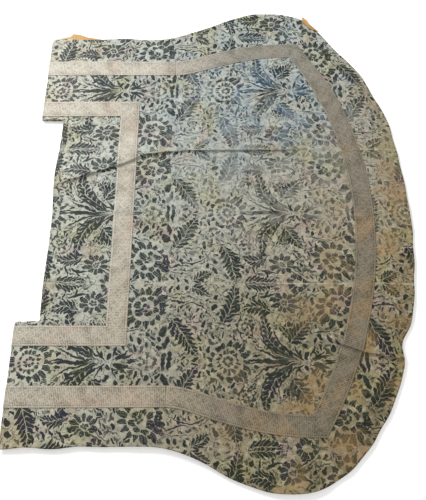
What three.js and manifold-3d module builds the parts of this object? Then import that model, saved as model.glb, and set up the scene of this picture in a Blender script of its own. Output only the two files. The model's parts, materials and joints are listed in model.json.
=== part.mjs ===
// A lined silk chasuble laid flat with its back uppermost, folded in two along the shoulders.
// Millimetres. +Z up, +X from the shoulder fold towards the hem, +Y across the garment.
// The front half lies face down, with its galloons on the resting surface, and the back half lies on it.
// Each half is built as the real one is: loom widths of silk seamed together, side gores, a turned edge,
// an interlining, a lining and applied galloon. The back turns about the shoulder fold.
import * as THREE from "three";
import { mergeVertices } from "three/addons/utils/BufferGeometryUtils.js";
import Module from "manifold-3d";

const wasm = await Module();
wasm.setup();

// ---- Driving dimensions ----------------------------------------------------------------------------
const CLOTH_LENGTH = 1240; // shoulder fold to the middle of the back hem
const SIDE_HALF_WIDTH = 755; // middle to the straight edge beside the shoulders
const FLARE = 130; // how far the sides swing out below it, with a gore on each
const LOOM_WIDTH = 510; // silk between two selvedge seams
const LINING_WIDTH = 560; // the middle width of the lining
const STRAIGHT_SIDE = 390; // length of the straight edge below the shoulder fold
const HEM_DEPTH = 420; // from the widest point down to the hem
const FLARE_EASE = 190; // how gently the straight side bends into the flare
const SHOULDER_WIDTH = 372; // straight edge to the neck opening, along the fold
const BACK_NECK_DEPTH = 75;
const FRONT_NECK_DEPTH = 112;
const FRONT_SHORTER = 60; // the front hem stops this much short of the back hem
const FRONT_NARROWER = 10; // and its sides lie this much inside the back's

const GALLOON_WIDTH = 65;
const SIDE_GALLOON_INSET = 140; // side edge to the middle of the galloon
const NECK_GALLOON_INSET = 45; // neck edge to the middle of the galloon beside it
const NECK_CROSS_DROP = 305; // shoulder fold to the middle of the cross piece
const CORNER_RISE = 340; // hem to the mitred lower corner
const CORNER_SPREAD = 87; // how far that corner lies outside the straight galloon
const HEM_GALLOON_INSET = 150; // hem edge to the middle of the galloon
const SIDE_JOIN_DROP = 460; // shoulder fold to the join in the side galloon
const BEND_EASE = 90; // how gently the side galloon bends out beyond its join
const CORNER_EASE = 230; // and how gently it straightens towards the corner
const HEM_LENGTHS = 3; // the hem galloon is pieced from this many lengths

const TURNING = 14; // width of the silk turned in round the edges
const LINING_STEP = 4; // the lining stops this far short of the edge
const SLACK_PEAK = 30; // how far the loose lining shows past the side, beside the shoulder
const SLACK_START = 40; // shoulder fold to where the loose lining begins
const SLACK_LENGTH = 150;

const SILK = 1.2;
const INTERLINING = 1.6;
const LINING = 0.8;
const GALLOON = 1.2;
const GAP = 0.3; // clearance between two pieces that lie on each other or are seamed edge to edge

const CURVE_STEPS = 14; // straight steps in a Bezier; a half ellipse has twice as many
const GALLOON_STEPS = 8; // straight steps along one curved length of galloon

// ---- Levels, from the resting surface up -----------------------------------------------------------
// One half, measured from its outer face inwards.
const OUTWARD_IN = {
  galloon: 0,
  silk: GALLOON + GAP,
  interlining: GALLOON + GAP + SILK + GAP,
  lining: GALLOON + GAP + SILK + GAP + INTERLINING + GAP,
};
const THICKNESS = { galloon: GALLOON, silk: SILK, interlining: INTERLINING, lining: LINING };
const HALF_THICKNESS = OUTWARD_IN.lining + LINING;
const FOLD_HEIGHT = HALF_THICKNESS + GAP / 2; // the shoulder fold's axis
const TOTAL_THICKNESS = 2 * FOLD_HEIGHT;

// ---- Plan -------------------------------------------------------------------------------------------
const HALF_WIDTH = SIDE_HALF_WIDTH + FLARE;
const NECK_HALF_WIDTH = SIDE_HALF_WIDTH - SHOULDER_WIDTH;
const FOLD_X = -(CLOTH_LENGTH - FOLD_HEIGHT - GAP / 2) / 2; // the box's middle is at x = 0
const EDGE_X = FOLD_X + GAP / 2; // where the flat layers start beside the fold

const HALVES = {
  front: { neckDepth: FRONT_NECK_DEPTH, shorter: FRONT_SHORTER, narrower: FRONT_NARROWER, faceUp: false },
  back: { neckDepth: BACK_NECK_DEPTH, shorter: 0, narrower: 0, faceUp: true },
};

const COLOURS = {
  silk: { color: 0x8f9a86, roughness: 0.62, metalness: 0 },
  galloon: { color: 0xb3a893, roughness: 0.45, metalness: 0.25 },
  lining: { color: 0xd79a45, roughness: 0.75, metalness: 0 },
  interlining: { color: 0xcdbf9f, roughness: 0.9, metalness: 0 },
};
const materials = Object.fromEntries(
  Object.entries(COLOURS).map(([name, look]) => [name, new THREE.MeshStandardMaterial(look)]),
);

const chasuble = new THREE.Group();

// ---- Solids -----------------------------------------------------------------------------------------
function toSolid(geometry) {
  const bare = geometry.clone();
  bare.deleteAttribute("normal");
  bare.deleteAttribute("uv");
  const merged = mergeVertices(bare, 1e-4);
  return new wasm.Manifold(
    new wasm.Mesh({
      numProp: 3,
      vertProperties: new Float32Array(merged.attributes.position.array),
      triVerts: new Uint32Array(merged.index.array),
    }),
  );
}

function toGeometry(solid) {
  const mesh = solid.getMesh();
  const geometry = new THREE.BufferGeometry();
  geometry.setAttribute("position", new THREE.BufferAttribute(new Float32Array(mesh.vertProperties), 3));
  geometry.setIndex(new THREE.BufferAttribute(new Uint32Array(mesh.triVerts), 1));
  geometry.computeVertexNormals();
  return geometry;
}

// A flat sheet of this outline, with its lower face at height bottom.
function slab(shape, bottom, thickness) {
  const geometry = new THREE.ExtrudeGeometry(shape, {
    depth: thickness,
    bevelEnabled: false,
    curveSegments: CURVE_STEPS,
  });
  geometry.translate(0, 0, bottom);
  return toSolid(geometry);
}

// The part of a solid between two heights across the garment.
function betweenY(solid, low, high) {
  const box = new THREE.BoxGeometry(4 * CLOTH_LENGTH, high - low, 4 * TOTAL_THICKNESS);
  box.translate(0, (low + high) / 2, 0);
  return solid.intersect(toSolid(box));
}

function add(name, solid, kind) {
  const mesh = new THREE.Mesh(toGeometry(solid), materials[kind]);
  mesh.name = name;
  chasuble.add(mesh);
}

// Where a layer of one half lies: its lower face.
function levelOf(half, layer) {
  return half.faceUp
    ? TOTAL_THICKNESS - OUTWARD_IN[layer] - THICKNESS[layer]
    : OUTWARD_IN[layer];
}

// ---- Outlines ---------------------------------------------------------------------------------------
// The half's outline with every free edge moved in by inset. The edge beside the shoulder fold stays.
function halfOutline(half, inset, withNeck = true) {
  const edge = inset + half.narrower;
  const side = SIDE_HALF_WIDTH - edge;
  const widest = HALF_WIDTH - edge;
  const flareX = FOLD_X + STRAIGHT_SIDE;
  const widestX = FOLD_X + CLOTH_LENGTH - HEM_DEPTH;
  const hem = HEM_DEPTH - inset - half.shorter;
  const neckX = FOLD_X + half.neckDepth + inset;
  const neckY = NECK_HALF_WIDTH + inset;
  const shape = new THREE.Shape();
  shape.moveTo(EDGE_X, side);
  shape.lineTo(flareX, side);
  shape.bezierCurveTo(flareX + FLARE_EASE, side, widestX - FLARE_EASE, widest, widestX, widest);
  shape.absellipse(widestX, 0, hem, widest, Math.PI / 2, -Math.PI / 2, true);
  shape.bezierCurveTo(widestX - FLARE_EASE, -widest, flareX + FLARE_EASE, -side, flareX, -side);
  shape.lineTo(EDGE_X, -side);
  if (withNeck) {
    shape.lineTo(EDGE_X, -neckY);
    shape.lineTo(neckX, -neckY);
    shape.lineTo(neckX, neckY);
    shape.lineTo(EDGE_X, neckY);
  }
  shape.closePath();
  return shape;
}

function polygon(points) {
  return new THREE.Shape(points.map(([x, y]) => new THREE.Vector2(x, y)));
}

// A ribbon GALLOON_WIDTH wide along a plane curve, in this many straight steps.
function ribbon(curve, steps) {
  const left = [];
  const right = [];
  for (let i = 0; i <= steps; i++) {
    const middle = curve.getPoint(i / steps);
    const along = curve.getTangent(i / steps);
    const across = new THREE.Vector2(-along.y, along.x).multiplyScalar(GALLOON_WIDTH / 2);
    left.push(middle.clone().add(across));
    right.push(middle.clone().sub(across));
  }
  return new THREE.Shape([...right, ...left.reverse()]);
}

// Keeps the part of a solid on the side of a mitre that keep points to, with half a gap at the joint.
function mitre(solid, corner, keep) {
  const normal = keep.clone().normalize();
  return solid.trimByPlane([normal.x, normal.y, 0], normal.dot(corner) + GAP / 2);
}

// ---- Silk, turnings, interlining and lining ----------------------------------------------------------
function addSilk(name, half) {
  const whole = slab(halfOutline(half, 0), levelOf(half, "silk"), SILK);
  const seam = LOOM_WIDTH / 2;
  const side = SIDE_HALF_WIDTH - half.narrower;
  add(`${name}_silk_middle_width`, betweenY(whole, -seam + GAP / 2, seam - GAP / 2), "silk");
  for (const [label, sign] of [["far", 1], ["near", -1]]) {
    const band = (low, high) => betweenY(whole, ...(sign > 0 ? [low, high] : [-high, -low]));
    add(`${name}_silk_${label}_width`, band(seam + GAP / 2, side - GAP / 2), "silk");
    add(`${name}_silk_${label}_gore`, band(side + GAP / 2, HALF_WIDTH), "silk");
  }
}

function addTurnings(name, half) {
  const level = levelOf(half, "interlining");
  const outer = slab(halfOutline(half, 0, false), level, INTERLINING);
  const inner = slab(halfOutline(half, TURNING, false), level - GAP, INTERLINING + 2 * GAP);
  const endY = SIDE_HALF_WIDTH - half.narrower - TURNING;
  const foldBox = new THREE.BoxGeometry(TURNING, 2 * endY, 2 * INTERLINING);
  foldBox.translate(FOLD_X, 0, level + INTERLINING / 2);
  add(`${name}_turned_hem`, outer.subtract(inner).subtract(toSolid(foldBox)), "silk");
  const deep = FOLD_X + half.neckDepth;
  const band = polygon([
    [EDGE_X, -NECK_HALF_WIDTH - TURNING],
    [deep + TURNING, -NECK_HALF_WIDTH - TURNING],
    [deep + TURNING, NECK_HALF_WIDTH + TURNING],
    [EDGE_X, NECK_HALF_WIDTH + TURNING],
    [EDGE_X, NECK_HALF_WIDTH],
    [deep, NECK_HALF_WIDTH],
    [deep, -NECK_HALF_WIDTH],
    [EDGE_X, -NECK_HALF_WIDTH],
  ]);
  add(`${name}_turned_neck_edge`, slab(band, level, INTERLINING), "silk");
}

function addInterlining(name, half) {
  const level = levelOf(half, "interlining");
  add(`${name}_interlining`, slab(halfOutline(half, TURNING + GAP), level, INTERLINING), "interlining");
}

// The lining is three widths. On the far side of the back it has come loose and shows past the edge.
function addLining(name, half) {
  const level = levelOf(half, "lining");
  let whole = slab(halfOutline(half, LINING_STEP), level, LINING);
  if (half.faceUp) {
    const start = FOLD_X + SLACK_START;
    const foot = SIDE_HALF_WIDTH - LINING_STEP - TURNING;
    const top = SIDE_HALF_WIDTH + SLACK_PEAK;
    const slack = new THREE.Shape();
    slack.moveTo(start, foot);
    slack.lineTo(start + SLACK_LENGTH, foot);
    slack.bezierCurveTo(start + 0.6 * SLACK_LENGTH, top - TURNING, start + 0.4 * SLACK_LENGTH, top,
      start + 0.2 * SLACK_LENGTH, top);
    slack.closePath();
    whole = whole.add(slab(slack, level, LINING));
  }
  const seam = LINING_WIDTH / 2;
  add(`${name}_lining_middle_width`, betweenY(whole, -seam + GAP / 2, seam - GAP / 2), "lining");
  add(`${name}_lining_far_width`, betweenY(whole, seam + GAP / 2, HALF_WIDTH), "lining");
  add(`${name}_lining_near_width`, betweenY(whole, -HALF_WIDTH, -seam - GAP / 2), "lining");
}

// ---- Galloon ----------------------------------------------------------------------------------------
function addSideAndHemGalloon(name, half) {
  const level = levelOf(half, "galloon");
  const sideY = SIDE_HALF_WIDTH - SIDE_GALLOON_INSET;
  const joinX = FOLD_X + SIDE_JOIN_DROP;
  const hemEdge = FOLD_X + CLOTH_LENGTH - half.shorter;
  const corner = new THREE.Vector2(hemEdge - CORNER_RISE, sideY + CORNER_SPREAD);
  const hemX = hemEdge - HEM_GALLOON_INSET;
  // The hem galloon is an arc through both corners and the middle of the hem.
  const rise = hemX - corner.x;
  const radius = (corner.y ** 2 + rise ** 2) / (2 * rise);
  const centreX = hemX - radius;
  const reach = Math.asin(corner.y / radius);
  const overrun = GALLOON_WIDTH / radius; // past the corner, for the mitre
  const hemDirection = new THREE.Vector2(Math.sin(reach), -Math.cos(reach));
  const flareDirection = new THREE.Vector2(1, 0);

  for (const [label, sign] of [["far", 1], ["near", -1]]) {
    const at = (v) => new THREE.Vector2(v.x, sign * v.y);
    const strap = polygon([
      [EDGE_X, sign * (sideY - GALLOON_WIDTH / 2)],
      [joinX - GAP / 2, sign * (sideY - GALLOON_WIDTH / 2)],
      [joinX - GAP / 2, sign * (sideY + GALLOON_WIDTH / 2)],
      [EDGE_X, sign * (sideY + GALLOON_WIDTH / 2)],
    ]);
    add(`${name}_galloon_${label}_side`, slab(strap, level, GALLOON), "galloon");

    const past = corner.clone().addScaledVector(flareDirection, GALLOON_WIDTH);
    const path = new THREE.CubicBezierCurve(
      new THREE.Vector2(joinX + GAP / 2, sign * sideY),
      new THREE.Vector2(joinX + BEND_EASE, sign * sideY),
      new THREE.Vector2(past.x - CORNER_EASE, sign * past.y),
      at(past),
    );
    const flare = slab(ribbon(path, GALLOON_STEPS), level, GALLOON);
    const keepFlare = flareDirection.clone().negate().sub(hemDirection);
    add(`${name}_galloon_${label}_flare`, mitre(flare, at(corner), at(keepFlare)), "galloon");
  }

  const hem = new THREE.EllipseCurve(centreX, 0, radius, radius, -reach - overrun, reach + overrun);
  let ring = slab(ribbon(hem, GALLOON_STEPS * HEM_LENGTHS), level, GALLOON);
  for (const sign of [1, -1]) {
    const keepHem = flareDirection.clone().add(hemDirection);
    const at = (v) => new THREE.Vector2(v.x, sign * v.y);
    ring = mitre(ring, at(corner), at(keepHem));
  }
  for (let i = 0; i < HEM_LENGTHS; i++) {
    const low = radius * Math.sin(reach * ((2 * i) / HEM_LENGTHS - 1));
    const high = radius * Math.sin(reach * ((2 * (i + 1)) / HEM_LENGTHS - 1));
    const piece = betweenY(
      ring,
      i === 0 ? -2 * HALF_WIDTH : low + GAP / 2,
      i === HEM_LENGTHS - 1 ? 2 * HALF_WIDTH : high - GAP / 2,
    );
    add(`${name}_galloon_hem_${i + 1}`, piece, "galloon");
  }
}

function addNeckGalloon(name, half) {
  const level = levelOf(half, "galloon");
  const armY = NECK_HALF_WIDTH + NECK_GALLOON_INSET;
  const crossX = FOLD_X + NECK_CROSS_DROP;
  const reach = GALLOON_WIDTH / 2;
  for (const [label, sign] of [["far", 1], ["near", -1]]) {
    const arm = polygon([
      [EDGE_X, sign * (armY - reach)],
      [crossX + reach, sign * (armY - reach)],
      [crossX + reach, sign * (armY + reach)],
      [EDGE_X, sign * (armY + reach)],
    ]);
    const corner = new THREE.Vector2(crossX, sign * armY);
    add(
      `${name}_galloon_${label}_neck`,
      mitre(slab(arm, level, GALLOON), corner, new THREE.Vector2(-1, sign)),
      "galloon",
    );
  }
  const cross = polygon([
    [crossX - reach, -armY - reach],
    [crossX + reach, -armY - reach],
    [crossX + reach, armY + reach],
    [crossX - reach, armY + reach],
  ]);
  let piece = slab(cross, level, GALLOON);
  for (const sign of [1, -1]) {
    piece = mitre(piece, new THREE.Vector2(crossX, sign * armY), new THREE.Vector2(1, -sign));
  }
  add(`${name}_galloon_neck_cross`, piece, "galloon");
}

// ---- Shoulder fold ----------------------------------------------------------------------------------
// A half ring about the fold's axis, from y = low to high, between two radii.
function foldStrip(low, high, innerRadius, outerRadius) {
  const section = new THREE.Shape();
  section.absarc(0, 0, outerRadius, Math.PI / 2, (3 * Math.PI) / 2, false);
  section.absarc(0, 0, innerRadius, (3 * Math.PI) / 2, Math.PI / 2, true);
  section.closePath();
  const geometry = new THREE.ExtrudeGeometry(section, {
    depth: high - low,
    bevelEnabled: false,
    curveSegments: 5,
  });
  geometry.rotateX(Math.PI / 2); // the section's plane becomes XZ, and the strip runs towards -Y
  geometry.translate(FOLD_X - GAP / 2, high, FOLD_HEIGHT);
  return toSolid(geometry);
}

function addShoulderFold() {
  const silkRadius = FOLD_HEIGHT - OUTWARD_IN.silk;
  const liningRadius = GAP / 2 + LINING;
  const galloonY = {
    side: SIDE_HALF_WIDTH - SIDE_GALLOON_INSET,
    neck: NECK_HALF_WIDTH + NECK_GALLOON_INSET,
  };
  for (const [label, sign] of [["far", 1], ["near", -1]]) {
    const across = (a, b) => (sign > 0 ? [a, b] : [-b, -a]);
    const shoulder = across(NECK_HALF_WIDTH, SIDE_HALF_WIDTH - FRONT_NARROWER);
    const strip = foldStrip(...shoulder, liningRadius, silkRadius);
    add(`shoulder_fold_${label}`, strip, "silk");
    for (const [run, y] of Object.entries(galloonY)) {
      const turn = foldStrip(
        ...across(y - GALLOON_WIDTH / 2, y + GALLOON_WIDTH / 2),
        silkRadius + GAP,
        silkRadius + GAP + GALLOON,
      );
      add(`galloon_turn_${label}_${run}`, turn, "galloon");
    }
  }
}

for (const [name, half] of Object.entries(HALVES)) {
  addSilk(name, half);
  addTurnings(name, half);
  addInterlining(name, half);
  addLining(name, half);
  addSideAndHemGalloon(name, half);
  addNeckGalloon(name, half);
}
addShoulderFold();

export default chasuble;
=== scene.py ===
"""A lined silk damask chasuble laid flat on a pale floor with its back uppermost.

Plan positions are worked out in millimetres in the row's frame: x runs from the shoulder fold to the
hem, y across the garment, z up. Meshes are made in metres.
"""
import json
import math

import bmesh
import bpy
import numpy as np
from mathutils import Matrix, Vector
from mathutils.geometry import delaunay_2d_cdt


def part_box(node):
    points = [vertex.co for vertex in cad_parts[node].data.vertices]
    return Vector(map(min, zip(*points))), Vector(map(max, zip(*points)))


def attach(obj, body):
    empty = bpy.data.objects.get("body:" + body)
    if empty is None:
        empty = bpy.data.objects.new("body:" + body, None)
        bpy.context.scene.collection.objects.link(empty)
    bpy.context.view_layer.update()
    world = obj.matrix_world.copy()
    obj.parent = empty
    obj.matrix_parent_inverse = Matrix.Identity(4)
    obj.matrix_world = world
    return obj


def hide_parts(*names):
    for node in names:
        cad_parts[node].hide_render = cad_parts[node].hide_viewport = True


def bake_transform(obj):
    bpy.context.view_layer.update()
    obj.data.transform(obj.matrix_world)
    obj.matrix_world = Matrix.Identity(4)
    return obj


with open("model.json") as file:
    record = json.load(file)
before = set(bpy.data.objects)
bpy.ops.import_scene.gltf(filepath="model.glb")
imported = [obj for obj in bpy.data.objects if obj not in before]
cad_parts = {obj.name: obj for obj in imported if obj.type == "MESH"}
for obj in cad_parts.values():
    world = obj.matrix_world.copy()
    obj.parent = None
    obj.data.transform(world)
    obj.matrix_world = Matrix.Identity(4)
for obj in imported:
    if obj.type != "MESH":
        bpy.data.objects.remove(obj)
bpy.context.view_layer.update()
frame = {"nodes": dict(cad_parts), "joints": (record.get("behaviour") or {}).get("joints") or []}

MM = 0.001

# ---- Sizes from the frame (millimetres) --------------------------------------------------------------


def box_mm(node):
    low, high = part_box(node)
    return np.array(low) / MM, np.array(high) / MM


def middle_mm(node, axis):
    low, high = box_mm(node)
    return (low[axis] + high[axis]) / 2


FOLD_X, _, FOLD_Z = (v / MM for v in frame["joints"][0]["pos_m"])
SIDE_Y = box_mm("back_silk_far_width")[1][1]
SEAM_Y = box_mm("back_silk_middle_width")[1][1]
WIDEST_Y = box_mm("back_turned_hem")[1][1]
HEM_X = box_mm("back_silk_middle_width")[1][0]
NECK_X = box_mm("back_silk_middle_width")[0][0]
FRONT_NECK_X = box_mm("front_silk_middle_width")[0][0]
NECK_Y = box_mm("shoulder_fold_far")[0][1]
GALLOON_SIDE_Y = middle_mm("back_galloon_far_side", 1)
GALLOON_NECK_Y = middle_mm("back_galloon_far_neck", 1)
CROSS_X = middle_mm("back_galloon_neck_cross", 0)
JOIN_X = box_mm("back_galloon_far_side")[1][0]
HEM_GALLOON_X = box_mm("back_galloon_hem_2")[1][0]
FRONT_SHORTER = HEM_X - box_mm("front_silk_middle_width")[1][0]
FRONT_NARROWER = WIDEST_Y - box_mm("front_turned_hem")[1][1]
GALLOON_LOW, GALLOON_HIGH = (round(b[2], 3) for b in box_mm("back_galloon_hem_2"))
TOTAL = 2 * FOLD_Z
EDGE_X = FOLD_X + 0.15  # where the flat layers start beside the fold

# ---- Sizes of the design (millimetres) ---------------------------------------------------------------

GALLOON_W = 65.0
STRAIGHT_SIDE = 390.0  # shoulder fold to where the sides begin to flare
HEM_DEPTH = 420.0  # widest point to the middle of the hem
FLARE_EASE = 190.0  # how long the flare's curve keeps to the straight at each end
CORNER_RISE = 340.0  # hem to the corner where the flared galloon meets the hem's
CORNER_SPREAD = 87.0  # how far that corner stands outside the straight galloon
BEND_EASE = 90.0  # how long the flared galloon keeps straight where it starts
CORNER_EASE = 230.0  # and where it reaches the corner
NECK_CORNER = 6.0
WIDEST_X = HEM_X - HEM_DEPTH
FLARE_X = FOLD_X + STRAIGHT_SIDE
TRIM = 0.2  # how far a galloon stops short of the next one
SQUARE = (0.0, 0.0)  # an end of a strip that is neither drawn out nor slanted

LAYER_LIFT = 4.2  # the most that the back's layers rise above their flat level
CREASED_LIFT = 9.9  # and the most that its creased silk does
OVERHANG = 4.4  # how far the back's hem sinks where the front doesn't reach under it
CREASE_LEAN = 0.75  # how far a crease leans toward the near side, as a share of its height
BRAID_SPREAD = 2.5  # a braid is too stiff to dip between rises closer than this
PRESSED = 0.45  # the interlining is drawn this much flatter on each side, clear of the cloth round it
SLACK_START, SLACK_LENGTH, SLACK_PEAK = 12.0, 195.0, 22.0  # the slack edge of the far lining
TUFT_X, TUFT_LENGTH, TUFT_TUCKED = 322.0, 56.0, 17.0
STITCH_START, STITCH_PITCH = 14.0, 9.0
STITCH_ENDS = ((2.0, -1.2), (6.4, 1.6))  # across from the edge, and ahead along it
STITCH_SECTION = ((-0.45, 6.02), (0.45, 6.02), (0.45, 5.74), (-0.45, 5.74))

# ---- Mesh steps (millimetres) ------------------------------------------------------------------------

COARSE = 1.0
BACK_SILK_STEP = 8.0 * COARSE
FRONT_SILK_STEP = 20.0 * COARSE
LINING_STEP = 17.6 * COARSE
HIDDEN_STEP = 26.0 * COARSE
EDGE_STEP = 6.0 * COARSE
FOLD_STEP = 18.0 * COARSE
GALLOON_STEP = 3.5 * COARSE
CREASE_STEP = 5.0 * COARSE
CREASE_ROWS = (-9.5, -7, -5, -3.2, -1.6, 0, 3.5, 7)  # rows of points beside a sharp crease
SHARP_CREASE = 8.0  # a crease whose near side is narrower than this is sharp
ROW_PITCH = 0.866  # between rows of points, as a share of the step
HEM_POINTS = 40  # steps along each length of the hem's galloon


# ---- The lie of the cloth ----------------------------------------------------------------------------


def smooth(t):
    t = np.clip(t, 0, 1)
    return t * t * (3 - 2 * t)


def bezier(*points, count=40):
    t = np.linspace(0, 1, count)[:, None]
    p0, p1, p2, p3 = np.array(points, float)
    return (1 - t) ** 3 * p0 + 3 * (1 - t) ** 2 * t * p1 + 3 * (1 - t) * t**2 * p2 + t**3 * p3


def flare_edge(side, widest):
    """x and y of the edge from the end of its straight side out to the widest point."""
    return bezier((FLARE_X, side), (FLARE_X + FLARE_EASE, side), (WIDEST_X - FLARE_EASE, widest),
                  (WIDEST_X, widest), count=60).T


def edge_distance(x, y):
    """Roughly how far a point lies inside the sides and the hem."""
    rx, ry = (x - WIDEST_X) / HEM_DEPTH, y / WIDEST_Y
    slope = np.hypot(rx / HEM_DEPTH, ry / WIDEST_Y) * 2 + 1e-6
    hem = (1 - rx**2 - ry**2) / slope
    half_width = np.interp(np.minimum(x, WIDEST_X), *flare_edge(SIDE_Y, WIDEST_Y))
    return np.where(x > WIDEST_X, hem, half_width - np.abs(y))


def neck_distance(x, y):
    """How far a point lies inside the neck's edge."""
    beside = np.maximum(np.abs(y) - NECK_Y, 0)
    below = np.maximum(x - NECK_X, 0)
    return np.where(np.abs(y) < NECK_Y, below, np.hypot(beside, below))


def waves(x, y, length, seed, count=7):
    """Soft random waves of about this length, between about -1 and 1."""
    draw = np.random.default_rng(seed)
    total = np.zeros_like(x)
    for _ in range(count):
        angle, phase = draw.uniform(0, math.tau, 2)
        k = math.tau / (length * draw.uniform(0.75, 1.4))
        total = total + np.sin(k * (x * math.cos(angle) + y * math.sin(angle)) + phase)
    return total / math.sqrt(count)


def crease_distance(x, y, points):
    """Signed distance to a broken line, positive to its left, and how far along it as a share."""
    best = np.full_like(x, 1e9)
    share = np.zeros_like(x)
    lengths = [math.dist(a, b) for a, b in zip(points, points[1:])]
    whole, gone = sum(lengths), 0.0
    for (ax, ay), (bx, by), length in zip(points, points[1:], lengths):
        ux, uy = (bx - ax) / length, (by - ay) / length
        t = np.clip(((x - ax) * ux + (y - ay) * uy) / length, 0, 1)
        dx, dy = x - ax - t * length * ux, y - ay - t * length * uy
        d = np.hypot(dx, dy)
        side = np.where(ux * dy - uy * dx >= 0, 1.0, -1.0)
        nearer = d < np.abs(best)
        best = np.where(nearer, d * side, best)
        share = np.where(nearer, (gone + t * length) / whole, share)
        gone += length
    return best, share


# Creases the cloth has fallen into: points, height, width of the steep near side, width of the far side.
CREASES = [
    ([(-556, 112), (-500, 132), (-440, 156), (-320, 203), (-250, 240), (-120, 254), (130, 257), (380, 256)],
     9.0, 6.5, 60.0),
    ([(320, -436), (380, -455), (430, -473), (490, -485), (590, -500)], 10.5, 5.5, 32.0),
    ([(-345, 8), (-300, 2), (-255, 10)], 2.0, 5.0, 20.0),
    ([(425, -210), (432, -110), (424, -20)], 1.8, 4.0, 16.0),
    ([(-80, 420), (60, 470), (190, 540)], 2.2, 30.0, 45.0),
    ([(-420, -700), (-250, -735), (-90, -720)], 1.8, 20.0, 40.0),
    ([(60, -760), (170, -800), (290, -790), (380, -720)], 2.5, 25.0, 35.0),
    ([(20, 790), (140, 815), (250, 790)], 3.0, 14.0, 26.0),
]


def crease_height(x, y):
    total = np.zeros_like(x)
    for points, height, steep, gentle in CREASES:
        d, share = crease_distance(x, y, points)
        across = np.where(d < 0, np.exp(-((d / steep) ** 2)), np.exp(-((d / gentle) ** 2)))
        along = smooth(share / 0.12) * smooth((1 - share) / 0.25)
        total = total + height * across * along
    return total


def lift(x, y, creased):
    """How high the back lies above its flat level, in millimetres. Only the silk is creased."""
    inside = edge_distance(x, y)
    height = 1.5 + 0.8 * waves(x, y, 420, 3) + 0.45 * waves(x, y, 150, 5)
    rim = np.exp(-np.maximum(inside, 0) / 38)
    height = height + rim * (1.0 + 1.5 * waves(x, y, 190, 11) + 0.6 * waves(x, y, 80, 12))
    height = height + np.exp(-neck_distance(x, y) / 30) * (0.8 + 1.0 * waves(x, y, 160, 17))
    height = LAYER_LIFT * np.tanh(np.maximum(height, 0) / LAYER_LIFT)
    toward_hem = smooth((x - (HEM_X - HEM_DEPTH * 0.95)) / 160)
    height = height - OVERHANG * toward_hem * smooth((70 - inside) / 70)
    if creased:
        room = CREASED_LIFT - height
        height = height + room * np.tanh(crease_height(x, y) / room)
    return height * smooth((x - FOLD_X) / 70)


# Where the cloth lies a little off its flat cut: centre x, y, reach x, y, shift x, y.
SHIFTS = [
    (-617, -800, 230, 110, 0, -8),
    (-545, 140, 60, 110, -9, 0),
    (-545, -260, 60, 110, -4, 0),
    (-60, 805, 120, 80, 0, 9),
    (330, 850, 60, 40, 3, 6),
    (430, 720, 130, 120, -15, -12),
    (590, 350, 80, 80, 7, 3),
    (590, -465, 60, 45, -24, 2),
    (590, -560, 70, 50, 7, 0),
]


def lay(x, y):
    """Plan position of a point of the flat cloth as it lies."""
    fixed = smooth((x - FOLD_X) / 60)
    sx, sy = np.zeros_like(x), np.zeros_like(y)
    for cx, cy, rx, ry, dx, dy in SHIFTS:
        weight = np.exp(-((x - cx) / rx) ** 2 - ((y - cy) / ry) ** 2)
        sx, sy = sx + dx * weight, sy + dy * weight
    rim = np.exp(-np.maximum(edge_distance(x, y), 0) / 30)
    sx = sx + 1.6 * rim * waves(x, y, 120, 23)
    sy = sy + 1.8 * rim * waves(x, y, 110, 24)
    return x + sx * fixed, y + sy


def place(half, x, y, z, creased=True, spread=0.0):
    """Final positions in metres of cloth points that lie at height z when flat.

    Stiff braid rests on the highest cloth within its spread.
    """
    x, y, z = (np.asarray(v, float) for v in (x, y, z))
    px, py = lay(x, y)
    if half == "back":
        if creased:
            py = py - CREASE_LEAN * crease_height(x, y)
        height = lift(x, y, creased)
        if spread:
            for dx, dy in ((spread, 0), (-spread, 0), (0, spread), (0, -spread)):
                height = np.maximum(height, lift(x + dx, y + dy, creased))
        z = z + height
    return np.stack([px, py, z], axis=-1) * MM


# ---- Mesh building -----------------------------------------------------------------------------------


def make_object(name, points, faces, uv, material):
    mesh = bpy.data.meshes.new(name)
    mesh.from_pydata([tuple(p) for p in points], [], faces)
    layer = mesh.uv_layers.new(name="cloth")
    loops = np.zeros(len(mesh.loops), np.int32)
    mesh.loops.foreach_get("vertex_index", loops)
    layer.data.foreach_set("uv", np.asarray(uv, np.float32)[loops].ravel())
    mesh.polygons.foreach_set("use_smooth", [True] * len(mesh.polygons))
    mesh.materials.append(material)
    obj = bpy.data.objects.new(name, mesh)
    bpy.context.scene.collection.objects.link(obj)
    work = bmesh.new()
    work.from_mesh(mesh)
    bmesh.ops.recalc_face_normals(work, faces=work.faces)
    work.to_mesh(mesh)
    work.free()
    mesh.set_sharp_from_angle(angle=math.radians(42))
    return obj


def cad_outline(node):
    """The plan outline of a flat CAD piece, anticlockwise, in millimetres."""
    mesh = frame["nodes"][node].data
    top = max(v.co.z for v in mesh.vertices)
    edges = set()
    for face in mesh.polygons:
        corners = [mesh.vertices[i].co for i in face.vertices]
        if any(corner.z < top - 0.1 * MM for corner in corners):
            continue
        keys = [(round(corner.x / MM, 2), round(corner.y / MM, 2)) for corner in corners]
        edges.update((a, b) for a, b in zip(keys, keys[1:] + keys[:1]) if a != b)
    after = {a: b for a, b in edges if (b, a) not in edges}
    loop = [min(after)]
    while after[loop[-1]] != loop[0]:
        loop.append(after[loop[-1]])
    return np.array(loop)


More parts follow.
